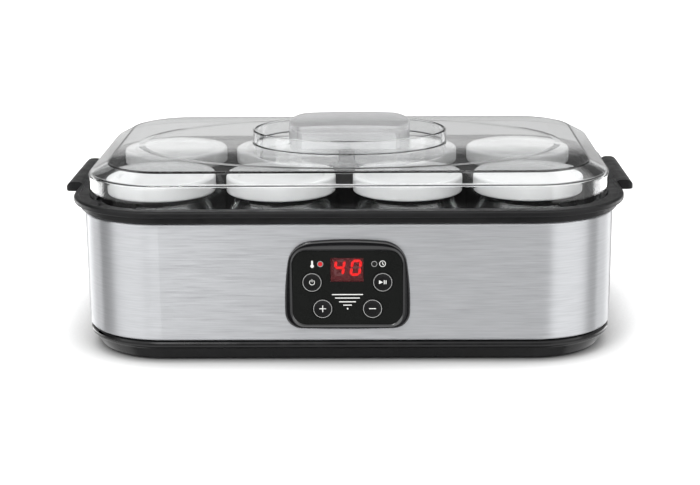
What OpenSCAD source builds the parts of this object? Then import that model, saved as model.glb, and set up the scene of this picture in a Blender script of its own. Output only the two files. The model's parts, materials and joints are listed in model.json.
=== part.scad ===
// Yogurt maker: eight capped glass jars stand in a warmed tub under a clear lift-off lid.
// Millimetres. +Z is up, +Y is the rear, and the origin lies on the table under the middle of the body.

/* [Housing] */
// Width of the steel sleeve
body_w = 333; // [331:1:340]
// Depth of the steel sleeve
body_d = 216; // [214:1:222]
// Corner radius of the steel sleeve, seen from above
corner_r = 52; // [50:1:54]
// Height of the steel sleeve
sleeve_h = 74.2; // [72:0.1:78]
// Thickness of the steel sheet
sheet_t = 0.6; // [0.5:0.1:0.8]
// Height of the black base under the sleeve
base_h = 12.7; // [12:0.1:15]
// How far the base draws in at its foot
base_taper = 7; // [5:0.5:9]
// How far the rubber feet stand below the base
foot_h = 2; // [1.5:0.1:3]

/* [Rim] */
// How far the rim stands out beyond the sleeve
rim_out = 6.8; // [6:0.1:8]
// Height of the rim above the sleeve
rim_h = 9.1; // [9:0.1:10]
// Length of each handle tab, front to rear
handle_len = 75; // [70:1:96]
// How far each handle tab stands out beyond the sleeve
handle_out = 16.5; // [12:0.5:18]

/* [Lid] */
// Thickness of the clear plastic
lid_t = 2.5; // [2:0.1:3]
// Height of the lid's flat top above the table
lid_top_z = 118; // [117:0.5:122]
// How far the shoulder leans in
shoulder_in = 12.2; // [11:0.1:14]
// Height of the leaning shoulder
shoulder_h = 6.3; // [5:0.1:7]
// Width of the oval collar round the knob
collar_w = 128; // [120:1:134]
// Depth of the oval collar
collar_d = 91.6; // [88:0.2:96]
// Height of the collar above the lid
collar_h = 9; // [7:0.5:11]
// Width of the knob
knob_w = 80; // [74:0.2:82]
// Distance between the knob's flat front and back
knob_d = 54; // [48:1:56]
// Height of the knob above the lid
knob_h = 16; // [14:0.2:18]

/* [Jars] */
// Diameter of a glass jar
jar_dia = 72; // [70:1:73]
// Height of a glass jar
jar_h = 78.4; // [76:0.2:79]
// Diameter of a jar cap
cap_dia = 70; // [69:0.5:71]
// Height of a jar cap
cap_h = 9.6; // [9:0.1:10.4]
// Distance between the two middle columns of jars
jar_mid_gap = 81; // [80:0.5:82]
// Distance from a middle column to the outer one beside it
jar_pitch_x = 77; // [76:0.5:77.5]
// Distance between the front and rear rows
jar_pitch_y = 82; // [80:1:84]
// How far the jars stand to the side within the play of their seats
jar_shift_x = -2.8; // [-2.8:0.1:2.8]

/* [Control panel] */
// Widest part of the panel's bezel
panel_w = 76.6; // [74:0.2:80]
// Height of the panel's bezel
panel_h = 56.6; // [54:0.2:58]
// Height of the panel's middle above the table
panel_z = 51.1; // [48:0.1:52]
// Diameter of a button
button_dia = 12.4; // [11.6:0.2:12.8]
// How far a button travels
button_travel = 0.8; // [0.5:0.1:1]

/* [Hidden] */
$fn = 72;
eps = 0.01;

base_z = foot_h;
sleeve_z = base_z + base_h;
sleeve_top = sleeve_z + sleeve_h;
rim_top = sleeve_top + rim_h;
half_w = body_w / 2;
half_d = body_d / 2;
base_wall = 2.4;
base_floor_top = base_z + base_wall;
run_gap = 0.3;

// The rim's section: an outer lip, a channel for the lid's foot and an inner ledge over the tub.
lip_under = rim_top - 4;
channel_z = rim_top - 2.2;
ledge_top = rim_top - 5;
ledge_t = 3;
ledge_z = ledge_top - ledge_t;
lid_inset = 3;

// The tub hangs under the ledge.
tub_w = 316;
tub_d = 176;
tub_r = 40;
tub_wall = 1.5;
tub_floor_t = 3;
tub_flange_t = 1.6;
tub_floor_z = 24;
tub_under = tub_floor_z - tub_floor_t;
seat_depth = 1.5;
seat_r = jar_dia / 2 + 3;
jar_z = tub_floor_z - seat_depth + 0.1;

// The lid stands in the rim's channel.
lid_w = body_w - 2 * lid_inset;
lid_d = body_d - 2 * lid_inset;
lid_r = corner_r - lid_inset;
lid_foot_z = channel_z + 0.1;
shoulder_z = lid_top_z - shoulder_h;
shoulder_r = 3;
crown_r = 3;
oval_w = 276;
oval_d = 173.4;
oval_rise = 0.2;
oval_steps = 120;
knob_wall = 2;
knob_dome = 1.2;
knob_round = 1.5;

// The caps close over the jars' mouths.
jar_wall = 3;
mouth_r = 27;
neck_r = 29.6;
bead_r = 32.4;
cap_top_z = jar_z + jar_h + 3.5;
cap_wall = 1.8;
cap_plate = 2;
cap_dish = 1.6;

// The panel is built face up about its own middle: panel x is X, panel y is Z, panel z points to the front.
panel_front = 2.4;
fascia_front = 1.4;
fascia_t = 2;
bezel_lap = 1.6;
bezel_band_top = 7.2;
bezel_band_side = 4.8;
bezel_band_foot = 3;
panel_widest = -13;
panel_arch_r = 225;
panel_side_r = 177;
panel_foot_r = 900;
panel_corner_r = 15.5;
panel_foot_corner_r = 10;
board_front = -10.1;
board_t = 1.6;
board_w = 67;
board_h = 44;
window_w = 20.2;
window_h = 15;
window_at = [-0.2, 9.2];
lamp_r = 1.45;
lamp_x = 16.4;
lamp_y = 12.9;
upper_button = [21.5, 1.4];
lower_button = [15.2, -15.4];
stem_len = 3;
button_flange_t = 1;
button_face = fascia_front + 0.3;
post_at = [31, 10];

// Screws.
base_screw_at = [140, 36];
tub_screw_x = [-100, 0, 100];
tub_screw_y = 94.5;
screw_r = 1.6;
head_r = 3;
head_t = 2;

// Inside the base.
foot_r = 9;
foot_at = [120, 70];
heater_r = 1.3;
heater_runs = 8;
heater_pitch = 18;
heater_len = 250;
foil_t = 0.4;
foil_z = tub_under - 2 * heater_r - foil_t;
power_at = [70, 58];
power_size = [90, 48];
power_z = base_floor_top + 3;
gland_x = 110;
gland_z = base_z + 7;
gland_r = 3.9;
gland_lip_r = 4.5;
gland_pocket = 3.5;
cord_r = 3;

jar_x = [for (s = [-1, 1], k = [1, 0]) s * (jar_mid_gap / 2 + (s < 0 ? k : 1 - k) * jar_pitch_x)];
jar_places = [for (row = [-1, 1], x = jar_x) [x + jar_shift_x, row * jar_pitch_y / 2]];
numbers = ["1", "2", "3", "4", "5", "6", "7", "8"];

housing_nodes = ["base_pan", "feet", "rating_plate", "base_screws", "steel_sleeve", "rim_frame", "inner_tub",
                 "tub_screws"];
heating_nodes = ["heater_wire", "heater_foil", "temperature_sensor", "thermal_fuse"];
electric_nodes = ["power_board", "transformer", "power_parts", "board_screws", "wiring", "cord_gland"];
panel_nodes = ["panel_bezel", "panel_fascia", "display_window", "display_module", "display_digits",
               "heat_lamp", "timer_lamp", "control_board", "tact_switches", "button_mode", "button_start",
               "button_plus", "button_minus"];
lid_nodes = ["lid_shell", "lid_knob"];
jar_nodes = [for (n = numbers) str("jar_", n)];
cap_nodes = [for (n = numbers) str("jar_cap_", n)];

// ---------- shared shapes ----------

// Points of an arc about c, from angle a to angle b.
function arc(c, r, a, b, steps = 6) =
    [for (i = [0:steps]) let (t = a + (b - a) * i / steps) c + r * [cos(t), sin(t)]];

// A rectangle with round corners, in the plane.
module round_rect(w, d, r) {
    square([w, d - 2 * r], center = true);
    square([w - 2 * r, d], center = true);
    for (sx = [-1, 1], sy = [-1, 1])
        translate([sx * (w / 2 - r), sy * (d / 2 - r)]) circle(r);
}

// A slab with round corners.
module round_slab(w, d, r, h) {
    linear_extrude(h) round_rect(w, d, r);
}

// Carries a section round a rounded rectangle. Section x is the distance outside the outline and y is Z.
module sweep_round(w, d, r) {
    for (k = [0:3]) rotate([0, 0, 90 * k]) {
        side = k % 2 == 0 ? [w / 2, d - 2 * r] : [d / 2, w - 2 * r];
        rotate([90, 0, 0]) linear_extrude(side[1], center = true) translate([side[0], 0]) children();
        translate([side[0] - r, side[1] / 2, 0]) rotate_extrude(angle = 90) translate([r, 0]) children();
    }
}

// An oval, in the plane.
module oval(w, d) {
    polygon([for (i = [0:oval_steps - 1]) let (t = 360 * i / oval_steps) [w / 2 * cos(t), d / 2 * sin(t)]]);
}

// A straight round rod between two points.
module rod(p, q, r) {
    v = q - p;
    len = norm(v);
    translate(p) rotate([0, acos(v[2] / len), atan2(v[1], v[0])]) cylinder(h = len, r = r, $fn = 24);
}

// A bent wire: rods with a ball at each bend.
module wire(points, r) {
    for (i = [0:len(points) - 2]) rod(points[i], points[i + 1], r);
    for (i = [1:len(points) - 2]) translate(points[i]) sphere(r + 0.05, $fn = 24);
}

// A cheese-head screw, head down, with its head's underside at the origin.
module screw(length) {
    translate([0, 0, -head_t]) difference() {
        cylinder(h = head_t, r = head_r, $fn = 32);
        for (a = [0, 90]) rotate([0, 0, a])
            translate([0, 0, 0.4]) cube([0.9, 3.6, 1.2], center = true);
    }
    cylinder(h = length, r = screw_r, $fn = 32);
}

// Puts panel parts on the front of the sleeve.
module on_panel() {
    translate([0, -half_d, panel_z]) rotate([90, 0, 0]) children();
}

// ---------- housing ----------

// The base's skirt: a round upper band, then a face that draws in to the floor.
module base_section() {
    band_r = 2.6;
    band_z = sleeve_z - band_r - 0.4;
    polygon(concat(
        [[-base_taper - base_wall, base_z], [-base_taper, base_z]],
        [[-2, band_z - band_r]],
        arc([-band_r - 0.4, band_z], band_r, -50, 90),
        [[-band_r - 1.6, sleeve_z - 0.2], [-band_r - 1.6, band_z - band_r],
         [-base_taper - base_wall, base_z + base_wall]]));
}

// Puts a copy at each of the power board's screw places, at height z.
module at_power_corners(z) {
    margin = 5;
    for (sx = [-1, 1], sy = [-1, 1])
        translate([power_at[0] + sx * (power_size[0] / 2 - margin),
                   power_at[1] + sy * (power_size[1] / 2 - margin), z])
            children();
}

module base_pan() {
    color("#101012") difference() {
        union() {
            sweep_round(body_w, body_d, corner_r) base_section();
            translate([0, 0, base_z])
                round_slab(body_w - 2 * base_taper - 1, body_d - 2 * base_taper - 1,
                           corner_r - base_taper - 0.5, base_wall);
            for (sx = [-1, 1], sy = [-1, 1])
                translate([sx * base_screw_at[0], sy * base_screw_at[1], base_z]) cylinder(h = 8, r = 5.5);
            at_power_corners(base_z + 1) cylinder(h = power_z - base_z - 1, r = 2.6);
            translate([gland_x - 9, half_d - 11, base_z]) cube([18, 7.5, base_h - 0.4]);
        }
        for (sx = [-1, 1], sy = [-1, 1])
            translate([sx * base_screw_at[0], sy * base_screw_at[1], base_z - eps]) {
                cylinder(h = 5 + 2 * eps, r = head_r + 0.6);
                cylinder(h = 20, r = screw_r + 0.2);
            }
        for (sx = [-1, 1], sy = [-1, 1])
            translate([sx * foot_at[0], sy * foot_at[1], base_z - eps]) cylinder(h = 1, r = foot_r + 0.1);
        for (x = [-60:12:60])
            translate([x, -50, base_z - eps]) round_slab(4, 30, 1.9, 2 * base_wall);
        translate([gland_x, half_d, gland_z]) rotate([90, 0, 0]) {
            cylinder(h = 30, r = gland_r + 0.1, center = true);
            translate([0, 0, -3]) cylinder(h = gland_pocket + 3, r = gland_lip_r + 0.1);
        }
    }
}

module feet() {
    color("#202020")
        for (sx = [-1, 1], sy = [-1, 1])
            translate([sx * foot_at[0], sy * foot_at[1], 0])
                rotate_extrude()
                    polygon(concat([[0, 0]], arc([foot_r - 1.4, 1], 1, -90, 0, 4),
                                   [[foot_r, foot_h], [foot_r, foot_h + 0.9], [0, foot_h + 0.9]]));
}

module rating_plate() {
    color("#c8c9cb") translate([-60, 40, base_z - 0.4]) round_slab(70, 40, 2, 0.4);
}

module base_screws() {
    color("#8d8f92")
        for (sx = [-1, 1], sy = [-1, 1])
            translate([sx * base_screw_at[0], sy * base_screw_at[1], base_z + 5]) screw(16);
}

// The sheet with its edges rolled in at the top and the bottom.
module sleeve_section() {
    roll_r = 1.8;
    lip = 1.4;
    top = sleeve_top - roll_r;
    foot = sleeve_z + roll_r;
    polygon(concat(
        [[-roll_r - lip, sleeve_z]],
        arc([-roll_r, foot], roll_r, -90, 0),
        arc([-roll_r, top], roll_r, 0, 90),
        [[-roll_r - lip, sleeve_top], [-roll_r - lip, sleeve_top - sheet_t]],
        arc([-roll_r, top], roll_r - sheet_t, 90, 0),
        arc([-roll_r, foot], roll_r - sheet_t, 0, -90),
        [[-roll_r - lip, sleeve_z + sheet_t]]));
}

module steel_sleeve() {
    color("#c3c6ca") difference() {
        sweep_round(body_w, body_d, corner_r) sleeve_section();
        on_panel() translate([0, 0, -5]) linear_extrude(10) panel_outline(bezel_lap);
    }
}

// The rim's outer lip, lid channel and the leg that reaches down inside the sleeve.
module rim_section() {
    lip_r = 1.5;
    skirt_out = 2.7;
    polygon(concat(
        arc([rim_out - lip_r, rim_top - lip_r], lip_r, 90, 0),
        arc([rim_out - 0.8, lip_under + 0.8], 0.8, 0, -90, 4),
        [[skirt_out, lip_under], [skirt_out, sleeve_top + 1.2], [skirt_out - 0.6, sleeve_top + 0.6],
         [0, sleeve_top], [-lid_inset - 0.6, sleeve_top], [-lid_inset - 0.6, sleeve_top - 6],
         [-lid_inset - 2.4, sleeve_top - 6], [-lid_inset - 2.4, ledge_z], [-lid_inset - 4, ledge_z],
         [-lid_inset - 4, channel_z],
         [-lid_inset + 0.4, channel_z], [-lid_inset + 0.4, rim_top - 0.5],
         [rim_out - 3.4, rim_top - 0.5], [rim_out - 2.9, rim_top]]));
}

// A handle tab's section: a domed back that rolls over to the outer edge.
module handle_section() {
    root = rim_out - 2.2;
    crown = rim_top + 1.6;
    under = lip_under - 0.6;
    roll_r = 5;
    chamfer = 0.6;
    polygon(concat(
        [[root, under], [root, rim_top]],
        arc([root + 4, crown - 4], 4, 150, 90, 4),
        arc([handle_out - roll_r, crown - roll_r], roll_r, 90, 0),
        [[handle_out, under + chamfer], [handle_out - chamfer, under]]));
}

// A solid handle tab on the right side, with round corners seen from above.
module handle_tab() {
    intersection() {
        rotate([90, 0, 0]) translate([half_w, 0, 0])
            linear_extrude(handle_len, center = true) handle_section();
        translate([half_w, 0, lip_under - 1]) round_slab(2 * handle_out, handle_len, 4, 2 * rim_h);
    }
}

module rim_frame() {
    color("#17181a") {
        difference() {
            union() {
                sweep_round(body_w, body_d, corner_r) rim_section();
                translate([0, 0, ledge_z])
                    round_slab(lid_w - 6, lid_d - 6, lid_r - 3, ledge_t);
            }
            translate([0, 0, ledge_z - 1]) round_slab(tub_w + 1, tub_d + 1, tub_r + 0.5, ledge_t + 2);
            for (x = tub_screw_x, s = [-1, 1])
                translate([x, s * tub_screw_y, ledge_z - eps]) cylinder(h = 2.2, r = screw_r + 0.05);
        }
        for (s = [0, 180]) rotate([0, 0, s]) handle_tab();
    }
}

// ---------- tub and heating ----------

module tub_section() {
    cove = 5;
    polygon(concat(
        [[-cove - 1, tub_under], [tub_wall, tub_under], [tub_wall, ledge_z - tub_flange_t],
         [tub_wall, ledge_z], [0, ledge_z]],
        arc([-cove, tub_floor_z + cove], cove, 0, -90),
        [[-cove - 1, tub_floor_z]]));
}

module inner_tub() {
    color("#141414") difference() {
        union() {
            sweep_round(tub_w, tub_d, tub_r) tub_section();
            translate([0, 0, tub_under]) round_slab(tub_w - 8, tub_d - 8, tub_r - 4, tub_floor_t);
            translate([0, 0, ledge_z - tub_flange_t]) difference() {
                round_slab(tub_w + 6, tub_d + 22, tub_r + 5, tub_flange_t);
                translate([0, 0, -1]) round_slab(tub_w + 1, tub_d + 1, tub_r + 0.5, tub_flange_t + 2);
            }
            for (sx = [-1, 1], sy = [-1, 1])
                translate([sx * base_screw_at[0], sy * base_screw_at[1], base_z + 8])
                    cylinder(h = tub_under - base_z - 7, r = 4.5);
        }
        for (row = [-1, 1], x = jar_x)
            translate([x, row * jar_pitch_y / 2, tub_floor_z - seat_depth])
                cylinder(h = seat_depth + 1, r = seat_r);
        for (sx = [-1, 1], sy = [-1, 1])
            translate([sx * base_screw_at[0], sy * base_screw_at[1], base_z + 7])
                cylinder(h = 14.4, r = screw_r + 0.05);
        for (x = tub_screw_x, s = [-1, 1])
            translate([x, s * tub_screw_y, ledge_z - 5]) cylinder(h = 8, r = screw_r + 0.1);
    }
}

module tub_screws() {
    color("#8d8f92")
        for (x = tub_screw_x, s = [-1, 1])
            translate([x, s * tub_screw_y, ledge_z - tub_flange_t]) screw(tub_flange_t + 1.9);
}

// One resistance wire that runs to and fro under the tub's floor.
module heater_wire() {
    color("#b5493a")
        for (k = [0:heater_runs - 1]) {
            y = (k - (heater_runs - 1) / 2) * heater_pitch;
            translate([0, y, tub_under - heater_r]) rotate([0, 90, 0])
                cylinder(h = heater_len, r = heater_r, center = true, $fn = 24);
            if (k < heater_runs - 1) {
                side = k % 2 == 0 ? 1 : -1;
                translate([side * heater_len / 2, y + heater_pitch / 2, tub_under - heater_r])
                    rotate([0, 0, side > 0 ? -90 : 90]) rotate_extrude(angle = 180)
                        translate([heater_pitch / 2, 0]) circle(heater_r, $fn = 24);
            }
        }
}

module heater_foil() {
    color("#cfd2d4") translate([0, 0, foil_z]) difference() {
        round_slab(tub_w - 26, tub_d - 16, tub_r - 10, foil_t);
        for (sx = [-1, 1], sy = [-1, 1])
            translate([sx * base_screw_at[0], sy * base_screw_at[1], -1]) cylinder(h = 4, r = 6);
    }
}

module temperature_sensor() {
    color("#d8d3c4") translate([-40, 0, foil_z - 3]) {
        cylinder(h = 3, r = 4);
        translate([-1.5, -14, 1]) cube([3, 14, 2]);
    }
}

module thermal_fuse() {
    color("#e6e2da") translate([40, 0, foil_z - 2]) {
        rotate([0, 90, 0]) cylinder(h = 12, r = 2, center = true, $fn = 32);
        rotate([0, 90, 0]) cylinder(h = 26, r = 0.6, center = true, $fn = 24);
    }
}

// ---------- power supply ----------

module power_board() {
    color("#2f6b3c") difference() {
        translate([power_at[0], power_at[1], power_z]) round_slab(power_size[0], power_size[1], 2, board_t);
        at_power_corners(power_z - 1) cylinder(h = 4, r = 1.3);
    }
}

module transformer() {
    color("#c9a227") translate([power_at[0] - 22, power_at[1], power_z + board_t]) {
        translate([0, 0, 3.2]) cube([22, 26, 6.4], center = true);
        translate([0, 0, 3.2]) cube([15, 32, 4.6], center = true);
    }
}

// Relay, capacitors and the screw terminal.
module power_parts() {
    top = power_z + board_t;
    color("#1d3f8a") translate([power_at[0] + 4, power_at[1] - 12, top]) cube([16, 12, 6.4]);
    color("#303030")
        for (k = [0:2]) translate([power_at[0] + 4 + 9 * k, power_at[1] + 12, top]) cylinder(h = 6, r = 3.4);
    color("#3f8f55") translate([power_at[0] + 27, power_at[1] - 14, top]) cube([10, 18, 6]);
}

module board_screws() {
    color("#8d8f92") {
        at_power_corners(power_z + board_t) cylinder(h = 1.4, r = 2.4, $fn = 32);
        on_panel()
            for (sx = [-1, 1], sy = [-1, 1])
                translate([sx * post_at[0], sy * post_at[1], board_front - board_t - 1.4])
                    cylinder(h = 1.4, r = 2.4, $fn = 32);
    }
}

// Leads from the supply to the control board and to the heater.
module wiring() {
    lead_r = 0.9;
    low = base_floor_top + 1.6;
    board_y = -half_d - board_front + board_t + 1;
    color("#b02a24")
        for (k = [0:2])
            wire([[power_at[0] - 34 + 3 * k, power_at[1] - 16, power_z + board_t + lead_r + 0.1],
                  [power_at[0] - 34 + 3 * k, power_at[1] - 28, power_z + board_t + lead_r + 0.1],
                  [power_at[0] - 34 + 3 * k, power_at[1] - 31, low],
                  [12 + 3 * k, board_y + 14, low],
                  [12 + 3 * k, board_y, low + 16],
                  [12 + 3 * k, board_y, panel_z - 16]], lead_r);
}

// The bush that the cord would leave through.
module cord_gland() {
    color("#1a1a1a") translate([gland_x, half_d, gland_z]) rotate([90, 0, 0])
        difference() {
            union() {
                translate([0, 0, gland_pocket - 1.6]) cylinder(h = 10.8, r = gland_r);
                translate([0, 0, gland_pocket - 1.6]) cylinder(h = 1.5, r = gland_lip_r);
                translate([0, 0, 11.2]) cylinder(h = 1.5, r = gland_lip_r);
            }
            cylinder(h = 30, r = cord_r, center = true);
        }
}

// ---------- control panel ----------

// Where two circles cross, on the right of the line from a to b.
function crossing(a, ra, b, rb) =
    let (gap = norm(b - a), along = (ra * ra - rb * rb + gap * gap) / (2 * gap),
         across = sqrt(ra * ra - along * along), u = (b - a) / gap)
    a + along * u + across * [u[1], -u[0]];

// Direction from one point to another, in degrees.
function heading(from, to) = atan2(to[1] - from[1], to[0] - from[0]);

// A list without its first entry.
function rest(list) = [for (i = [1:len(list) - 1]) list[i]];

// The bezel's outline: a flat arch, bowed sides and a nearly straight foot, joined by tangent corners.
module panel_outline(inset = 0) {
    side = [panel_w / 2 - panel_side_r, panel_widest];
    arch = [0, panel_h / 2 - panel_arch_r];
    sole = [0, panel_foot_r - panel_h / 2];
    upper = crossing(arch, panel_arch_r - panel_corner_r, side, panel_side_r - panel_corner_r);
    lower = crossing(side, panel_side_r - panel_foot_corner_r, sole, panel_foot_r - panel_foot_corner_r);
    right = concat(
        arc(sole, panel_foot_r - inset, -90, heading(sole, lower), 3),
        rest(arc(lower, panel_foot_corner_r - inset, heading(sole, lower), heading(side, lower), 8)),
        rest(arc(side, panel_side_r - inset, heading(side, lower), heading(side, upper), 8)),
        rest(arc(upper, panel_corner_r - inset, heading(side, upper), heading(arch, upper), 9)),
        rest(arc(arch, panel_arch_r - inset, heading(arch, upper), 90, 5)));
    left = [for (i = [len(right) - 2:-1:1]) [-right[i][0], right[i][1]]];
    polygon(concat(right, left));
}

// The black fascia's outline, inside the bezel.
module fascia_outline(gap = 0) {
    w = panel_w - 2 * bezel_band_side - 2 * gap;
    h = panel_h - bezel_band_top - bezel_band_foot - 2 * gap;
    translate([0, (bezel_band_foot - bezel_band_top) / 2]) round_rect(w, h, 8.5 - gap);
}

module panel_bezel() {
    color("#0c0c0d") on_panel() {
        difference() {
            hull() {
                translate([0, 0, 0.1]) linear_extrude(0.8) panel_outline();
                linear_extrude(panel_front) panel_outline(2.2);
            }
            translate([0, 0, -1]) linear_extrude(9) fascia_outline();
        }
        difference() {
            translate([0, 0, -4]) linear_extrude(4.2) panel_outline(bezel_lap + 0.1);
            translate([0, 0, -5]) linear_extrude(9) fascia_outline();
        }
    }
}

module button_places() {
    for (sx = [-1, 1], place = [upper_button, lower_button])
        translate([sx * place[0], place[1], 0]) children();
}

module panel_fascia() {
    color("#0a0a0b") on_panel() difference() {
        union() {
            translate([0, 0, fascia_front - fascia_t]) linear_extrude(fascia_t) fascia_outline(0.1);
            for (sx = [-1, 1], sy = [-1, 1])
                translate([sx * post_at[0], sy * post_at[1], board_front])
                    cylinder(h = fascia_front - 1 - board_front, r = 2.2, $fn = 32);
        }
        button_places() translate([0, 0, -5]) cylinder(h = 10, r = button_dia / 2 + run_gap);
        translate([window_at[0], window_at[1], 0]) cube([window_w, window_h, 20], center = true);
        for (s = [-1, 1]) translate([s * lamp_x, lamp_y, -5]) cylinder(h = 10, r = lamp_r, $fn = 32);
    }
}

module display_window() {
    color("#5a0c10") on_panel() translate([window_at[0], window_at[1], fascia_front - 0.7])
        cube([window_w - 0.1, window_h - 0.1, 1.2], center = true);
}

module display_module() {
    color("#2a0c0d") on_panel()
        translate([window_at[0], window_at[1], (board_front - 0.7) / 2])
            cube([window_w - 1, window_h - 1, -board_front - 0.7], center = true);
}

// One bar of a seven-segment digit, pointed at both ends.
module bar(length, width) {
    tip = width / 2;
    half = length / 2;
    polygon([[-half, 0], [-half + tip, tip], [half - tip, tip],
             [half, 0], [half - tip, -tip], [-half + tip, -tip]]);
}

// A seven-segment digit. The list of seven says which bars are lit: top, two upper, middle, two lower, foot.
module digit(lit, w = 5.1, h = 8.6, bar_w = 1.6) {
    spots = [[0, h / 2, 0], [-w / 2, h / 4, 90], [w / 2, h / 4, 90], [0, 0, 0], [-w / 2, -h / 4, 90],
             [w / 2, -h / 4, 90], [0, -h / 2, 0]];
    for (i = [0:6])
        if (lit[i]) translate([spots[i][0], spots[i][1]]) rotate(spots[i][2])
            bar((i % 3 == 0 ? w : h / 2) - 0.3, bar_w);
}

module display_digits() {
    lean = 0.14;
    four = [false, true, true, true, false, true, false];
    nought = [true, true, true, false, true, true, true];
    color("#ff1a10") on_panel() translate([window_at[0], window_at[1] + 0.9, -0.35])
        multmatrix([[1, lean, 0, 0], [0, 1, 0, 0], [0, 0, 1, 0], [0, 0, 0, 1]])
            linear_extrude(0.3) {
                translate([-4.6, 0]) digit(four);
                translate([5.4, 0]) digit(nought);
            }
}

// A light pipe from the control board to the fascia.
module lamp(side) {
    on_panel() translate([side * lamp_x, lamp_y, board_front])
        cylinder(h = fascia_front + 0.2 - board_front, r = lamp_r - 0.15, $fn = 32);
}

module heat_lamp() {
    color("#d01818") lamp(-1);
}

module timer_lamp() {
    color("#181818") lamp(1);
}

module control_board() {
    color("#2f6b3c") on_panel() translate([0, 0, board_front - board_t])
        round_slab(board_w, board_h, 2, board_t);
}

module tact_switches() {
    stem_end = button_face - 3.2 - stem_len - button_flange_t;
    plunger_top = stem_end - button_travel - run_gap;
    color("#3a3a3c") on_panel() button_places() {
        translate([0, 0, board_front])
            linear_extrude(plunger_top - 0.5 - board_front) square(6, center = true);
        translate([0, 0, board_front]) cylinder(h = plunger_top - board_front, r = 1.7, $fn = 32);
    }
}

// A round button, a flange that keeps it behind the fascia and a stem that reaches its switch.
module button(side, place) {
    face_t = 3.2;
    color("#0d0d0e") on_panel() translate([side * place[0], place[1], button_face]) {
        rotate_extrude()
            polygon(concat([[0, -face_t], [button_dia / 2, -face_t]],
                           arc([button_dia / 2 - 0.5, -0.5], 0.5, 0, 90, 4), [[0, 0]]));
        translate([0, 0, -face_t - button_flange_t])
            cylinder(h = button_flange_t + eps, r = button_dia / 2 + 1);
        translate([0, 0, -face_t - button_flange_t - stem_len]) cylinder(h = stem_len + eps, r = 2);
    }
}

// ---------- lid ----------

// The lid's wall, its leaning shoulder and the start of its top.
module lid_section() {
    lean = atan2(shoulder_h, shoulder_in);
    low = [-shoulder_r, shoulder_z - shoulder_r * tan((90 - lean) / 2)];
    high = [-shoulder_in - crown_r * tan(lean / 2), lid_top_z - crown_r];
    polygon(concat(
        [[-lid_t, lid_foot_z], [0, lid_foot_z]],
        arc(low, shoulder_r, 0, 90 - lean, 5),
        arc(high, crown_r, 90 - lean, 90, 5),
        [[-shoulder_in - 10, lid_top_z], [-shoulder_in - 10, lid_top_z - lid_t]],
        arc(high, crown_r - lid_t, 90, 90 - lean, 4),
        arc(low, shoulder_r - lid_t, 90 - lean, 0, 4)));
}

module lid_shell() {
    ring = 2;
    color("#e8eef2", 0.35) {
        sweep_round(lid_w, lid_d, lid_r) lid_section();
        translate([0, 0, lid_top_z - lid_t])
            round_slab(lid_w - 2 * shoulder_in - 18, lid_d - 2 * shoulder_in - 18,
                       lid_r - shoulder_in - 9, lid_t);
        translate([0, 0, lid_top_z - 1]) linear_extrude(1 + oval_rise) oval(oval_w, oval_d);
        translate([0, 0, lid_top_z - 1]) linear_extrude(1 + collar_h) difference() {
            oval(collar_w, collar_d);
            oval(collar_w - 2 * ring, collar_d - 2 * ring);
        }
    }
}

// The knob's outline: an oval with a flat front and back.
module knob_outline(inset = 0) {
    intersection() {
        oval(knob_w - 2 * inset, knob_w + 5.4 - 2 * inset);
        square([knob_w, knob_d - 2 * inset], center = true);
    }
}

// The knob is hollow below, and its top is slightly domed with a stepped-in edge.
module lid_knob() {
    foot = lid_top_z + oval_rise;
    top = lid_top_z + knob_h;
    dome_r = (knob_w * knob_w / 4 + knob_dome * knob_dome) / (2 * knob_dome);
    color("#e8eef2", 0.35) difference() {
        intersection() {
            union() {
                translate([0, 0, foot]) linear_extrude(top - knob_dome - knob_round - foot) knob_outline();
                translate([0, 0, foot]) linear_extrude(top - foot) knob_outline(knob_round / 2);
            }
            translate([0, 0, top - dome_r]) sphere(dome_r, $fn = 256);
        }
        translate([0, 0, foot - 1]) linear_extrude(knob_h - 3 - knob_wall) knob_outline(knob_wall + 0.5);
    }
}

// ---------- jars ----------

module jar(place) {
    r = jar_dia / 2;
    heel = 5;
    glass_floor = 5;
    shoulder = 53;
    neck = 70;
    curve = [for (t = [0:0.125:1]) let (s = t * t * (3 - 2 * t))
             [r + (neck_r - r) * s, shoulder + (neck - shoulder) * t]];
    inner_curve = [for (p = curve) [p[0] - jar_wall + (p[1] - shoulder) * 0.02, p[1] - 1]];
    color("#dfe8ea", 0.4) translate([place[0], place[1], jar_z]) rotate_extrude($fn = 96)
        polygon(concat(
            [[0, 1], [r - heel - 3, 1], [r - heel - 1.5, 0], [r - heel, 0]],
            arc([r - heel, heel], heel, -90, 0),
            curve,
            [[neck_r, neck + 1.5], [bead_r, neck + 2.4], [bead_r, neck + 5], [bead_r - 1.6, neck + 6.2]],
            arc([mouth_r + 1.8, jar_h - 1.5], 1.5, 60, 180, 5),
            [[mouth_r, neck]],
            [for (i = [len(inner_curve) - 1:-1:0]) inner_curve[i]],
            arc([r - jar_wall - heel, glass_floor + heel], heel, 0, -90),
            [[0, glass_floor]]));
}

module jar_cap(place) {
    r = cap_dia / 2;
    edge = 2;
    land = 5;
    under = -cap_dish - cap_plate;
    color("#eceded") translate([place[0], place[1], cap_top_z]) rotate_extrude($fn = 96)
        polygon(concat(
            [[0, -cap_dish], [r - edge - land - 1, -cap_dish], [r - edge - land, 0]],
            arc([r - edge, -edge], edge, 90, 0),
            [[r, -cap_h + 0.4], [r - 0.4, -cap_h], [r - cap_wall, -cap_h], [r - cap_wall, -cap_plate - 0.4],
             [r - edge - land, -cap_plate - 0.4], [mouth_r - 0.5, under], [0, under]]));
}

// ---------- drawing ----------

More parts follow.
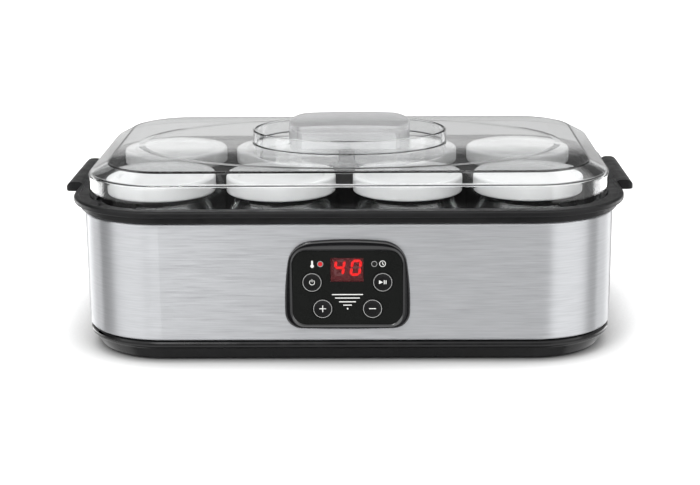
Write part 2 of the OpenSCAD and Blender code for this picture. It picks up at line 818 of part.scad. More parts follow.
base_pan();
feet();
rating_plate();
base_screws();
steel_sleeve();
rim_frame();
inner_tub();
tub_screws();
heater_wire();
heater_foil();
temperature_sensor();
thermal_fuse();
power_board();
transformer();
power_parts();
board_screws();
wiring();
cord_gland();
panel_bezel();
panel_fascia();
display_window();
display_module();
display_digits();
heat_lamp();
timer_lamp();
control_board();
tact_switches();
button(-1, upper_button);  // button_mode
button(1, upper_button);  // button_start
button(-1, lower_button);  // button_plus
button(1, lower_button);  // button_minus
lid_shell();
lid_knob();
for (i = [0:len(jar_places) - 1]) {
    jar(jar_places[i]);
    jar_cap(jar_places[i]);
}
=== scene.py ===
"""Looks of the yogurt maker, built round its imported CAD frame.

Lengths in the shape code are millimetres until build() turns them into metres.
"""

import json
import math

import bmesh
import bpy
from mathutils import Matrix, Vector


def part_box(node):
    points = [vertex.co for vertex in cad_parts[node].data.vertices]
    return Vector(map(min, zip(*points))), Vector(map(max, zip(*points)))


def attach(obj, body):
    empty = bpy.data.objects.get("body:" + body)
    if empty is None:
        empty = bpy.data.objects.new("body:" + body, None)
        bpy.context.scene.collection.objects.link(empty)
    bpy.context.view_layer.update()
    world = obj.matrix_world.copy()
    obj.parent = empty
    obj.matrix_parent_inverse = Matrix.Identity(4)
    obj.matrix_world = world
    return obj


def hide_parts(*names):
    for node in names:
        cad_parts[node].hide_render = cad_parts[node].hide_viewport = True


MM = 0.001
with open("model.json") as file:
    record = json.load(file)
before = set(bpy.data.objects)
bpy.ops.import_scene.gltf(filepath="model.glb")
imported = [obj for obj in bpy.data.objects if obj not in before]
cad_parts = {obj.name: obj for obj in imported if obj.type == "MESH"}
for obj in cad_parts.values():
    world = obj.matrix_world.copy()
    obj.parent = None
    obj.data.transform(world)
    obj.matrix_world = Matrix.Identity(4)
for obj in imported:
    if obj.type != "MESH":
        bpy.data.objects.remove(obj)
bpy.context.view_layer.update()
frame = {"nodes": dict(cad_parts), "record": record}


def box_mm(node):
    """Lowest and highest corner of a CAD node, in millimetres."""
    low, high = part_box(node)
    return low / MM, high / MM


def centre_mm(node):
    """Middle of a CAD node's box, in millimetres."""
    low, high = box_mm(node)
    return (low + high) / 2


# ---------- camera ----------

CAMERA_PLACE = (0.0191, -1.0503, 0.3258)
CAMERA_TURN, CAMERA_TILT, CAMERA_ROLL = -0.0184, 0.258, -0.008
CAMERA_LENS = 82.9
CAMERA_SENSOR = 36


def make_camera():
    """The photograph's view: from the front, a little above the lid. Its angles are in radians."""
    ahead = Vector((math.sin(CAMERA_TURN), math.cos(CAMERA_TURN), 0))
    forward = math.cos(CAMERA_TILT) * ahead - math.sin(CAMERA_TILT) * Vector((0, 0, 1))
    level = Vector((ahead.y, -ahead.x, 0))
    up = level.cross(forward)
    right = math.cos(CAMERA_ROLL) * level + math.sin(CAMERA_ROLL) * up
    up = math.cos(CAMERA_ROLL) * up - math.sin(CAMERA_ROLL) * level
    data = bpy.data.cameras.new("camera")
    data.lens = CAMERA_LENS
    data.sensor_width = CAMERA_SENSOR
    camera = bpy.data.objects.new("camera", data)
    axes = Matrix((right, up, -forward)).transposed().to_4x4()
    camera.matrix_world = Matrix.Translation(CAMERA_PLACE) @ axes
    bpy.context.scene.collection.objects.link(camera)
    bpy.context.scene.camera = camera


make_camera()


# ---------- material helpers ----------

def new_material(name):
    """An empty Principled material with its tree and shader."""
    material = bpy.data.materials.new(name)
    material.use_nodes = True
    tree = material.node_tree
    return material, tree, tree.nodes["Principled BSDF"]


def noise(tree, scale, stretch=(1, 1, 1), detail=4.0):
    """Noise in the object's own metres, stretched along each axis."""
    place = tree.nodes.new("ShaderNodeTexCoord")
    mapping = tree.nodes.new("ShaderNodeMapping")
    mapping.inputs["Scale"].default_value = stretch
    texture = tree.nodes.new("ShaderNodeTexNoise")
    texture.inputs["Scale"].default_value = scale
    texture.inputs["Detail"].default_value = detail
    tree.links.new(place.outputs["Object"], mapping.inputs["Vector"])
    tree.links.new(mapping.outputs["Vector"], texture.inputs["Vector"])
    return texture.outputs["Fac"]


NOISE_LOW, NOISE_HIGH = 0.3, 0.7


def spread(tree, value, low, high):
    """Maps the usual range of a noise value onto the range from low to high."""
    node = tree.nodes.new("ShaderNodeMapRange")
    node.inputs["From Min"].default_value = NOISE_LOW
    node.inputs["From Max"].default_value = NOISE_HIGH
    node.inputs["To Min"].default_value = low
    node.inputs["To Max"].default_value = high
    tree.links.new(value, node.inputs["Value"])
    return node.outputs["Result"]


def math_node(tree, operation, *values):
    """One math node. Each value is a socket or a number."""
    node = tree.nodes.new("ShaderNodeMath")
    node.operation = operation
    for socket, value in zip(node.inputs, values):
        if isinstance(value, (int, float)):
            socket.default_value = value
        else:
            tree.links.new(value, socket)
    return node.outputs["Value"]


def tint(tree, value, dark, light):
    """A colour between dark and light, chosen by a noise value."""
    node = tree.nodes.new("ShaderNodeValToRGB")
    first, last = node.color_ramp.elements
    first.position = NOISE_LOW
    first.color = (*dark, 1)
    last.position = NOISE_HIGH
    last.color = (*light, 1)
    tree.links.new(value, node.inputs["Fac"])
    return node.outputs["Color"]


def add_bump(tree, shader, height, strength, depth):
    """Bump from a noise value. depth is in metres."""
    node = tree.nodes.new("ShaderNodeBump")
    node.inputs["Strength"].default_value = strength
    node.inputs["Distance"].default_value = depth
    tree.links.new(height, node.inputs["Height"])
    tree.links.new(node.outputs["Normal"], shader.inputs["Normal"])


def surface(name, colour, rough, grain=900, relief=0.15, metal=0.0, vary=0.12, rough_vary=0.08, shine=0.5):
    """A moulded or metal surface: mottled colour, uneven gloss and fine grain."""
    material, tree, shader = new_material(name)
    dark = [c * (1 - vary) for c in colour]
    light = [min(1, c * (1 + vary)) for c in colour]
    cloud = noise(tree, 35)
    tree.links.new(tint(tree, cloud, dark, light), shader.inputs["Base Color"])
    patch = noise(tree, 120)
    rough_range = (max(0.02, rough - rough_vary), min(1, rough + rough_vary))
    tree.links.new(spread(tree, patch, *rough_range), shader.inputs["Roughness"])
    shader.inputs["Metallic"].default_value = metal
    shader.inputs["Specular IOR Level"].default_value = shine
    add_bump(tree, shader, noise(tree, grain), relief, 0.0002)
    return material


def brushed_steel():
    """Steel brushed along the wall: fine short lines over faint broad ones."""
    material, tree, shader = new_material("brushed_steel")
    lines = noise(tree, 1, stretch=(60, 60, 1700), detail=4)
    broad = noise(tree, 1, stretch=(20, 20, 600), detail=3)
    streaks = math_node(tree, "MULTIPLY_ADD", lines, 0.75, spread(tree, broad, 0.08, 0.17))
    steel = tint(tree, streaks, (0.355, 0.36, 0.372), (0.445, 0.452, 0.465))
    tree.links.new(steel, shader.inputs["Base Color"])
    tree.links.new(spread(tree, streaks, 0.32, 0.42), shader.inputs["Roughness"])
    shader.inputs["Metallic"].default_value = 1.0
    shader.inputs["Anisotropic"].default_value = 0.92
    shader.inputs["Anisotropic Rotation"].default_value = 0.25
    tangent = tree.nodes.new("ShaderNodeTangent")
    tangent.direction_type = "RADIAL"
    tangent.axis = "Z"
    tree.links.new(tangent.outputs["Tangent"], shader.inputs["Tangent"])
    add_bump(tree, shader, lines, 0.12, 0.00005)
    return material


def clear(name, colour, rough, ior=1.49, relief=0.02, clarity=1.0):
    """Clear plastic or glass with faint waves and rub marks. Less clarity makes it milky."""
    material, tree, shader = new_material(name)
    haze = noise(tree, 60)
    pale = [min(1, c * 1.03) for c in colour]
    tree.links.new(tint(tree, haze, colour, pale), shader.inputs["Base Color"])
    tree.links.new(spread(tree, haze, rough, rough * 1.8), shader.inputs["Roughness"])
    shader.inputs["Transmission Weight"].default_value = clarity
    shader.inputs["IOR"].default_value = ior
    add_bump(tree, shader, noise(tree, 45, detail=2), relief, 0.0004)
    return material


def milky():
    """Soft white cap plastic that light enters a little way."""
    material, tree, shader = new_material("cap_white")
    cloud = noise(tree, 40)
    white = tint(tree, cloud, (0.49, 0.495, 0.495), (0.53, 0.535, 0.535))
    tree.links.new(white, shader.inputs["Base Color"])
    tree.links.new(spread(tree, noise(tree, 150), 0.34, 0.46), shader.inputs["Roughness"])
    shader.inputs["Subsurface Weight"].default_value = 0.25
    shader.inputs["Subsurface Radius"].default_value = (0.004, 0.004, 0.004)
    shader.inputs["Subsurface Scale"].default_value = 1.0
    add_bump(tree, shader, noise(tree, 1400), 0.08, 0.0001)
    return material


def tinted_window():
    """Dark red display window that the lit bars shine through."""
    material, tree, shader = new_material("window_red")
    red = tint(tree, noise(tree, 300), (0.07, 0.012, 0.014), (0.09, 0.016, 0.018))
    tree.links.new(red, shader.inputs["Base Color"])
    tree.links.new(spread(tree, noise(tree, 200), 0.18, 0.26), shader.inputs["Roughness"])
    shader.inputs["Alpha"].default_value = 0.42
    return material


def glowing(name, colour, strength):
    """A lit display bar or lamp, a little uneven across its face."""
    material, tree, shader = new_material(name)
    uneven = noise(tree, 700)
    dim = [c * 0.8 for c in colour]
    lit = tint(tree, uneven, dim, colour)
    tree.links.new(lit, shader.inputs["Base Color"])
    tree.links.new(lit, shader.inputs["Emission Color"])
    shader.inputs["Emission Strength"].default_value = strength
    shader.inputs["Roughness"].default_value = 0.3
    return material


# Plain surfaces, by name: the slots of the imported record, then the printed marks and the unlit bars.
SURFACES = {
    "black_gloss": dict(colour=(0.004, 0.004, 0.0042), rough=0.2, grain=600, relief=0.05, shine=0.25),
    "black_satin": dict(colour=(0.005, 0.005, 0.0053), rough=0.38, grain=2200, relief=0.25, shine=0.17),
    "black_tub": dict(colour=(0.007, 0.007, 0.0072), rough=0.45, grain=1500, relief=0.3, shine=0.05),
    "rubber": dict(colour=(0.02, 0.02, 0.02), rough=0.75, grain=1200, relief=0.4),
    "label_foil": dict(colour=(0.72, 0.73, 0.74), rough=0.4, grain=800, relief=0.1, metal=1.0),
    "screw_steel": dict(colour=(0.5, 0.51, 0.53), rough=0.35, grain=1500, relief=0.2, metal=1.0),
    "heater_red": dict(colour=(0.5, 0.11, 0.07), rough=0.6, relief=0.3),
    "foil": dict(colour=(0.78, 0.79, 0.8), rough=0.3, grain=260, relief=0.6, metal=1.0),
    "cream_plastic": dict(colour=(0.72, 0.68, 0.56), rough=0.5),
    "ceramic_white": dict(colour=(0.8, 0.78, 0.74), rough=0.45, grain=600),
    "board_green": dict(colour=(0.03, 0.15, 0.05), rough=0.35, grain=700, vary=0.25),
    "copper_tape": dict(colour=(0.72, 0.45, 0.18), rough=0.35, grain=500, metal=1.0),
    "blue_plastic": dict(colour=(0.05, 0.12, 0.36), rough=0.35),
    "wire_red": dict(colour=(0.45, 0.04, 0.03), rough=0.45),
    "bezel_gloss": dict(colour=(0.004, 0.004, 0.0045), rough=0.1, grain=300, relief=0.02,
                        rough_vary=0.03, shine=0.55),
    "fascia_black": dict(colour=(0.005, 0.0054, 0.005), rough=0.28, grain=1800, relief=0.03,
                         vary=0.06, rough_vary=0.02, shine=0.12),
    "module_dark": dict(colour=(0.10, 0.022, 0.024), rough=0.55),
    "lamp_dark": dict(colour=(0.008, 0.008, 0.008), rough=0.2, relief=0.02),
    "switch_grey": dict(colour=(0.14, 0.14, 0.15), rough=0.5),
    "button_black": dict(colour=(0.005, 0.005, 0.0052), rough=0.28, grain=1500, relief=0.04,
                         rough_vary=0.03, shine=0.2),
    "print_pale": dict(colour=(0.50, 0.50, 0.485), rough=0.5, relief=0.1),
    "print_grey": dict(colour=(0.24, 0.24, 0.236), rough=0.45, relief=0.1),
    "unlit_bar": dict(colour=(0.26, 0.15, 0.15), rough=0.5),
}


def make_materials():
    """Every material by name: the plain surfaces and the special ones."""
    made = {name: surface(name, **look) for name, look in SURFACES.items()}
    made["brushed_steel"] = brushed_steel()
    made["window_red"] = tinted_window()
    made["lid_clear"] = clear("lid_clear", (0.965, 0.97, 0.972), 0.012)
    made["knob_clear"] = clear("knob_clear", (0.70, 0.705, 0.71), 0.10, clarity=0.72)
    made["jar_glass"] = clear("jar_glass", (0.93, 0.96, 0.955), 0.01, ior=1.5, relief=0.05)
    made["cap_white"] = milky()
    made["lit_red"] = glowing("lit_red", (1.0, 0.012, 0.01), 2.4)
    made["lamp_red"] = glowing("lamp_red", (0.32, 0.005, 0.008), 0.8)
    return made


materials = make_materials()


def dress_frame():
    """Gives each CAD node the material of its slot."""
    for part in frame["record"]["subparts"]:
        data = frame["nodes"][part["node"]].data
        data.materials.clear()
        data.materials.append(materials[part["material_slot"]])


dress_frame()


# ---------- mesh helpers ----------

def arc(centre, radius, start, end, steps):
    """Points of an arc in the section plane. Angles are in degrees."""
    angles = [math.radians(start + (end - start) * i / steps) for i in range(steps + 1)]
    return [(centre[0] + radius * math.cos(a), centre[1] + radius * math.sin(a)) for a in angles]


def lerp(p, q, share):
    """The point that far of the way from p to q."""
    return tuple(a + (b - a) * share for a, b in zip(p, q))


def held(section, gap=0.3):
    """Adds points near both ends of each long straight run, so that flat walls stay flat when shaded."""
    points = [section[0]]
    for p, q in zip(section, section[1:]):
        run = math.dist(p, q)
        if run > 3 * gap:
            points += [lerp(p, q, gap / run), lerp(p, q, 1 - gap / run)]
        points.append(q)
    return points


def build(name, rings, material, body, closed=False, crease=35):
    """Joins equal rings of points into one closed mesh. A ring of one point is a pole."""
    mesh = bmesh.new()
    rows = [[mesh.verts.new(Vector(p) * MM) for p in ring] for ring in rings]
    pairs = list(zip(rows, rows[1:]))
    if closed:
        pairs.append((rows[-1], rows[0]))
    for low, high in pairs:
        count = max(len(low), len(high))
        for i in range(count):
            j = (i + 1) % count
            corners = [low[i % len(low)], low[j % len(low)], high[j % len(high)], high[i % len(high)]]
            mesh.faces.new(list(dict.fromkeys(corners)))
    bmesh.ops.recalc_face_normals(mesh, faces=mesh.faces)
    return finish_piece(name, mesh, material, body, crease)


def finish_piece(name, mesh, material, body, crease=35):
    """Turns a bmesh into a smooth-shaded piece that rides on a CAD body."""
    data = bpy.data.meshes.new(name)
    mesh.to_mesh(data)
    mesh.free()
    data.shade_smooth()
    data.set_sharp_from_angle(angle=math.radians(crease))
    data.materials.append(materials[material])
    piece = bpy.data.objects.new(name, data)
    bpy.context.scene.collection.objects.link(piece)
    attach(piece, body)
    return piece


CORNER_SIGNS = ((1, 1), (-1, 1), (-1, -1), (1, -1))
SIDE_SHARES = (0.003, 0.03, 0.15, 0.3, 0.5, 0.7, 0.85, 0.97, 0.997)


def rounded_outline(width, depth, radius, corner_steps=28):
    """Points and outward normals round a rectangle with round corners."""
    outline = []
    for k, (sign_x, sign_y) in enumerate(CORNER_SIGNS):
        middle = Vector((sign_x * (width / 2 - radius), sign_y * (depth / 2 - radius)))
        for i in range(corner_steps + 1):
            a = math.radians(90 * k + 90 * i / corner_steps)
            normal = Vector((math.cos(a), math.sin(a)))
            outline.append((middle + radius * normal, normal))
        length = (width if k % 2 == 0 else depth) - 2 * radius
        along = Vector((-normal.y, normal.x))
        start = outline[-1][0]
        for share in SIDE_SHARES:
            outline.append((start + along * length * share, normal))
    return outline


def offset_ring(outline, offset, z):
    """The outline moved out by offset, at height z."""
    return [(*(p + n * offset), z) for p, n in outline]


def oval_ring(outline, width, depth, z):
    """An oval with one point for each point of the outline."""
    reach_x = max(p.x for p, n in outline)
    reach_y = max(p.y for p, n in outline)
    turns = [math.atan2(p.y / reach_y, p.x / reach_x) for p, n in outline]
    return [(width / 2 * math.cos(t), depth / 2 * math.sin(t), z) for t in turns]


def lathe_rings(profile, centre, steps):
    """Rings of a turned shape. profile lists (radius, height); radius 0 is a pole."""
    rings = []
    for radius, z in held(profile):
        if radius == 0:
            rings.append([(centre.x, centre.y, z)])
        else:
            turns = [2 * math.pi * i / steps for i in range(steps)]
            circle = [(radius * math.cos(t), radius * math.sin(t)) for t in turns]
            rings.append([(centre.x + x, centre.y + y, z) for x, y in circle])
    return rings


# ---------- lid ----------

LID_LOW, LID_HIGH = box_mm("lid_shell")
LID_WALL = 2.5
LID_CORNER = 49
SHOULDER_IN = 12.2
SHOULDER_RISE = 6.3
OVAL_RISE = 0.2
OVAL_W, OVAL_D = 276, 173.4
COLLAR_RISE = 9
COLLAR_W, COLLAR_D = 128, 91.6
COLLAR_WALL = 2
DECK_W, DECK_D = 60, 40
LID_TOP = LID_HIGH.z - COLLAR_RISE


def lid_section():
    """Outer and inner skins of the lid's wall and shoulder, as (offset, height) from the foot up."""
    lean = math.degrees(math.atan2(SHOULDER_RISE, SHOULDER_IN))
    bend, crown = 3, 3
    low = (-bend, LID_TOP - SHOULDER_RISE - bend * math.tan(math.radians((90 - lean) / 2)))
    high = (-SHOULDER_IN - crown * math.tan(math.radians(lean / 2)), LID_TOP - crown)
    outer = [(-0.4, LID_LOW.z), (0, LID_LOW.z + 0.5)]
    outer += arc(low, bend, 0, 90 - lean, 10) + arc(high, crown, 90 - lean, 90, 10)
    inner = [(-LID_WALL + 0.4, LID_LOW.z), (-LID_WALL, LID_LOW.z + 0.5)]
    inner += arc(low, bend - LID_WALL, 0, 90 - lean, 6) + arc(high, crown - LID_WALL, 90 - lean, 90, 6)
    outer.append((outer[-1][0] - 0.4, outer[-1][1]))
    inner.append((inner[-1][0] - 0.4, inner[-1][1]))
    return held(outer), held(inner)


def collar_section():
    """Section of the collar round the knob, as (offset, height): up its outside, over its edge and down."""
    foot = LID_TOP + OVAL_RISE
    top = LID_HIGH.z
    outside = [(0.7, foot), (0.4, foot), (0.1, foot + 0.1), (0, foot + 0.4)]
    inside = [(-COLLAR_WALL - offset, z) for offset, z in reversed(outside)]
    edge = [(0, top - 0.7), (-0.25, top - 0.2), (-0.7, top), (-COLLAR_WALL + 0.6, top),
            (-COLLAR_WALL + 0.15, top - 0.25), (-COLLAR_WALL, top - 0.7)]
    return held(outside + edge + inside)


def make_lid():
    """One clear shell: wall, leaning shoulder, raised oval and the collar round the knob."""
    outline = rounded_outline(LID_HIGH.x - LID_LOW.x, LID_HIGH.y - LID_LOW.y, LID_CORNER)
    outer, inner = lid_section()
    ceiling = LID_TOP - LID_WALL
    deck = LID_TOP + OVAL_RISE
    step = [(2.2, 0), (2, 0), (-2, OVAL_RISE), (-2.2, OVAL_RISE)]
    rings = [[(0, 0, ceiling)], oval_ring(outline, DECK_W, DECK_D, ceiling)]
    rings += [offset_ring(outline, o, z) for o, z in reversed(inner)]
    rings += [offset_ring(outline, o, z) for o, z in outer]
    rings += [oval_ring(outline, OVAL_W + 2 * o, OVAL_D + 2 * o, LID_TOP + z) for o, z in step]
    rings += [oval_ring(outline, COLLAR_W + 2 * o, COLLAR_D + 2 * o, z) for o, z in collar_section()]
    rings += [oval_ring(outline, DECK_W, DECK_D, deck), [(0, 0, deck)]]
    piece = build("lid_dome", rings, "lid_clear", "lid", crease=50)
    # Casting no shadow lets the studio light through the clear lid onto the caps.
    piece.visible_shadow = False
    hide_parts("lid_shell")


KNOB_LOW, KNOB_HIGH = box_mm("lid_knob")


def corners_cut(points):
    """Softens a closed outline by cutting each corner at a quarter of its sides."""
    cut = []
    for p, q in zip(points, points[1:] + points[:1]):
        cut += [p.lerp(q, 0.25), p.lerp(q, 0.75)]
    return cut


def knob_outline(steps=72):
    """Points and normals of a nearly round grip with a flat front and back and softened corners."""
    half_w, half_d = KNOB_HIGH.x, KNOB_HIGH.y
    round_d = half_w + 2.7
    points = []
    for i in range(steps):
        t = 2 * math.pi * (i + 0.5) / steps
        y = round_d * math.sin(t)
        points.append(Vector((half_w * math.cos(t), max(-half_d, min(half_d, y)))))
    points = corners_cut(corners_cut(points))
    outline = []
    for i, p in enumerate(points):
        along = (points[(i + 1) % len(points)] - points[i - 1]).normalized()
        outline.append((p, Vector((along.y, -along.x))))
    return outline


def make_knob():
    """A hollow clear grip with a slightly domed top."""
    outline = knob_outline()
    dome, edge, wall = 1.2, 1.5, 2.5
    foot = KNOB_LOW.z + 0.05
    cavity_top = KNOB_HIGH.z - 5.5

    def crown(p):
        """Height of the domed top over a point."""
        return KNOB_HIGH.z - dome * (p.length / KNOB_HIGH.x) ** 2

    rings = [[(0, 0, cavity_top)]]
    rings.append([(*(p * 0.5), cavity_top) for p, n in outline])
    inner = [(-wall - 1.4, cavity_top), (-wall - 1, cavity_top), (-wall - 0.3, cavity_top - 0.3),
             (-wall, cavity_top - 1), (-wall, foot), (0, foot), (0, foot + 0.3)]
    rings += [offset_ring(outline, o, z) for o, z in held(inner)]
    rings.append([(*p, crown(p) - edge - 0.3) for p, n in outline])
    for a in range(0, 91, 18):
        back = edge * (1 - math.cos(math.radians(a)))
        fall = edge * (1 - math.sin(math.radians(a)))
        rings.append([(*(p - n * back), crown(p) - fall) for p, n in outline])
    rings += [[(*(p * s), crown(p * s)) for p, n in outline] for s in (0.9, 0.75, 0.5, 0.25)]
    rings.append([(0, 0, KNOB_HIGH.z)])
    piece = build("lid_grip", rings, "knob_clear", "lid", crease=50)
    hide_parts("lid_knob")


make_lid()
make_knob()


# ---------- jars ----------

JAR_NUMBERS = range(1, 9)


def jar_profile(foot):
    """Half of the jar's section, from the middle of its base round to the middle of its inner floor."""
    r, wall, heel, floor = 36, 3, 5, 5
    neck_r, bead_r, mouth_r = 29.6, 32.4, 27
    shoulder, neck, height = 53, 70, 78.4
    steps = [i / 14 for i in range(15)]
    ease = [t * t * (3 - 2 * t) for t in steps]
    curve = [(r + (neck_r - r) * s, shoulder + (neck - shoulder) * t) for t, s in zip(steps, ease)]
    inner = [(x - wall + (z - shoulder) * 0.02, z - 1) for x, z in curve]
    profile = [(0, 1.6), (r - heel - 6, 1.0), (r - heel - 1.5, 0.3), (r - heel, 0)]
    profile += arc((r - heel, heel), heel, -80, 0, 8)
    profile += curve
    profile += [(neck_r, neck + 1.2), (neck_r + 0.8, neck + 1.9), (bead_r - 0.4, neck + 2.4),
                (bead_r, neck + 2.9), (bead_r, neck + 4.8), (bead_r - 1.2, neck + 6.1)]
    profile += arc((mouth_r + 1.8, height - 1.5), 1.5, 60, 180, 8)
    profile += [(mouth_r, neck)] + inner[::-1]
    profile += arc((r - wall - heel, floor + heel), heel, 0, -90, 8) + [(0, floor + 0.4)]
    return [(x, z + foot) for x, z in profile]


def make_jars():
    """Eight glass jars, each on its own body."""
    for i in JAR_NUMBERS:
        node = f"jar_{i}"
        rings = lathe_rings(jar_profile(box_mm(node)[0].z), centre_mm(node), steps=120)
        piece = build(f"glass_jar_{i}", rings, "jar_glass", node, crease=60)
        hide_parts(node)


def cap_profile(top):
    """Half of the cap's section: recessed disc, raised land, rolled edge and skirt."""
    r, edge, land, dish, plate, wall, height, seat = 35, 2, 5, 1.6, 2, 1.8, 9.6, 26.5
    rim = r - edge
    under = -dish - plate
    profile = [(0, -dish), (rim - land - 1.6, -dish), (rim - land - 0.9, -dish + 0.2),
               (rim - land - 0.2, -0.35), (rim - land + 0.6, 0)]
    profile += arc((rim, -edge), edge, 90, 0, 10)
    profile += [(r, -height + 1.6), (r - 0.12, -height + 0.5), (r - 0.5, -height),
                (r - wall + 0.2, -height), (r - wall, -height + 0.3), (r - wall, -plate - 1.2),
                (r - wall - 0.8, -plate - 0.4), (rim - land, -plate - 0.4), (seat, under),
                (0, under)]
    return [(x, z + top) for x, z in profile]


def make_caps():
    """Eight white caps, each on its own body."""
    for i in JAR_NUMBERS:
        node = f"jar_cap_{i}"
        rings = lathe_rings(cap_profile(box_mm(node)[1].z), centre_mm(node), steps=144)
        piece = build(f"milky_cap_{i}", rings, "cap_white", node, crease=60)
        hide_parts(node)


make_jars()
make_caps()


# ---------- control panel ----------

FASCIA_LOW, FASCIA_HIGH = box_mm("panel_fascia")
BEZEL_LOW, BEZEL_HIGH = box_mm("panel_bezel")
PANEL_Z = (BEZEL_LOW.z + BEZEL_HIGH.z) / 2
SLEEVE_FRONT = box_mm("steel_sleeve")[0].y
PRINT_RISE = 0.08
FASCIA_GAP = 0.1


def on_panel(x, z, out):
    """A point of the panel: x and z from its middle, out from the sleeve's face."""
    return (x, SLEEVE_FRONT - out, PANEL_Z + z)


def crossing(a, ra, b, rb):
    """Where two circles cross, on the right of the line from a to b."""
    gap = b - a
    along = (ra * ra - rb * rb + gap.length_squared) / (2 * gap.length)
    across = math.sqrt(ra * ra - along * along)
    ahead = gap.normalized()
    return a + along * ahead + across * Vector((ahead.y, -ahead.x))


def heading(start, end):
    """Direction from one point to another, in degrees."""
    return math.degrees(math.atan2(end.y - start.y, end.x - start.x))


def panel_curve():
    """The bezel's outer edge: a flat arch, bowed sides and a nearly straight foot, with tangent corners."""
    half_w = (BEZEL_HIGH.x - BEZEL_LOW.x) / 2
    half_h = (BEZEL_HIGH.z - BEZEL_LOW.z) / 2
    side_r, arch_r, sole_r, corner_r, foot_corner_r = 177, 225, 900, 15.5, 10
    widest_z = -13
    side = Vector((half_w - side_r, widest_z))
    arch = Vector((0, half_h - arch_r))
    sole = Vector((0, sole_r - half_h))
    upper = crossing(arch, arch_r - corner_r, side, side_r - corner_r)
    lower = crossing(side, side_r - foot_corner_r, sole, sole_r - foot_corner_r)
    right = arc(sole, sole_r, -90, heading(sole, lower), 4)
    right += arc(lower, foot_corner_r, heading(sole, lower), heading(side, lower), 14)[1:]
    right += arc(side, side_r, heading(side, lower), heading(side, upper), 12)[1:]
    right += arc(upper, corner_r, heading(side, upper), heading(arch, upper), 16)[1:]
    right += arc(arch, arch_r, heading(arch, upper), 90, 8)[1:]
    return right + [(-x, z) for x, z in right[-2:0:-1]]


def fascia_curve():
    """The round-cornered opening that the fascia fills."""
    middle_z = (FASCIA_LOW.z + FASCIA_HIGH.z) / 2 - PANEL_Z
    half_w = FASCIA_HIGH.x + FASCIA_GAP
    half_h = (FASCIA_HIGH.z - FASCIA_LOW.z) / 2 + FASCIA_GAP
    corner_r = 8.5
    points = []
    for side_x, side_z, start in ((1, -1, -90), (1, 1, 0), (-1, 1, 90), (-1, -1, 180)):
        middle = (side_x * (half_w - corner_r), middle_z + side_z * (half_h - corner_r))
        points += arc(middle, corner_r, start, start + 90, 12)
    return points


def reach(curve, angle):
    """How far a closed curve is from the middle in one direction."""
    ray = Vector((math.cos(angle), math.sin(angle)))
    for p, q in zip(curve, curve[1:] + curve[:1]):
        p, q = Vector(p), Vector(q)
        side = q - p
        across = ray.x * side.y - ray.y * side.x
        if abs(across) < 1e-9:
            continue
        along = (p.x * side.y - p.y * side.x) / across
        share = (p.x * ray.y - p.y * ray.x) / across
        if along > 0 and -1e-6 <= share <= 1 + 1e-6:
            return along
    return 0.0


def make_bezel():
    """A glossy frame, crowned across its width, that rises from the steel and dips to the fascia."""
    outer, inner = panel_curve(), fascia_curve()
    steps = 220
    turns = [2 * math.pi * i / steps for i in range(steps)]
    spans = [(reach(outer, t), reach(inner, t), t) for t in turns]
    # The frame's back reaches through the sleeve's cut-out, so it is tucked in from the outer edge.
    behind, tucked_in = -4, 1.7

    def ring(share, out, tuck=0):
        """Points at a share of the way in to the fascia, standing out from the steel and tucked inwards."""
        spots = [(far + (near - far) * share - tuck, t) for far, near, t in spans]
        return [on_panel(r * math.cos(t), r * math.sin(t), out) for r, t in spots]

    crown = [(0, 0.1), (0, 0.9), (0.015, 1.4), (0.05, 1.85), (0.11, 2.2), (0.19, 2.37), (0.28, 2.4),
             (0.45, 2.36), (0.6, 2.25), (0.75, 2.05), (0.88, 1.75), (0.96, 1.45), (1, 1.2), (1, behind)]
    rings = [ring(0.02, behind, tucked_in), ring(0, 0.1, tucked_in)]
    rings += [ring(share, out) for share, out in crown]
    piece = build("panel_frame", rings, "bezel_gloss", "housing", closed=True, crease=45)
    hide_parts("panel_bezel")


make_bezel()


def add_plate(mesh, outline, out):
    """Adds a thin printed plate with this outline to a mesh, standing on the panel at out."""
    back = [mesh.verts.new(Vector(on_panel(x, z, out)) * MM) for x, z in outline]
    front = [mesh.verts.new(Vector(on_panel(x, z, out + PRINT_RISE)) * MM) for x, z in outline]
    mesh.faces.new(back)
    mesh.faces.new(front[::-1])
    for i in range(len(outline)):
        j = (i + 1) % len(outline)
        mesh.faces.new([back[i], front[i], front[j], back[j]])


def add_band(mesh, centre, r_out, r_in, out, start=0, end=360):
    """Adds a printed ring, or part of one."""
    whole = end - start == 360
    steps = 72 if whole else 48
    angles = [math.radians(start + (end - start) * i / steps) for i in range(steps if whole else steps + 1)]
    rows = []
    for r, level in ((r_out, out), (r_out, out + PRINT_RISE), (r_in, out + PRINT_RISE), (r_in, out)):
        spots = [(centre[0] + r * math.cos(a), centre[1] + r * math.sin(a)) for a in angles]
        rows.append([mesh.verts.new(Vector(on_panel(x, z, level)) * MM) for x, z in spots])
    for k in range(4):
        a_row, b_row = rows[k], rows[(k + 1) % 4]
        for i in range(len(angles) if whole else len(angles) - 1):
            j = (i + 1) % len(angles)
            mesh.faces.new([a_row[i], a_row[j], b_row[j], b_row[i]])
    if not whole:
        mesh.faces.new([row[0] for row in rows])
        mesh.faces.new([row[-1] for row in rows][::-1])


def bar_outline(x, z, width, height):
    """A rectangle round a point."""
    a, b = width / 2, height / 2
    return [(x - a, z - b), (x + a, z - b), (x + a, z + b), (x - a, z + b)]


def disc_outline(x, z, r, steps=32):
    """A circle round a point."""
    turns = [2 * math.pi * i / steps for i in range(steps)]
    return [(x + r * math.cos(t), z + r * math.sin(t)) for t in turns]


def plus_outline(x, z, arm, width):
    """A plus sign round a point."""
    a, b = arm / 2, width / 2
    corners = [(b, -a), (b, -b), (a, -b), (a, b), (b, b), (b, a)]
    corners += [(-cx, -cz) for cx, cz in corners]
    return [(x + cx, z + cz) for cx, cz in corners]


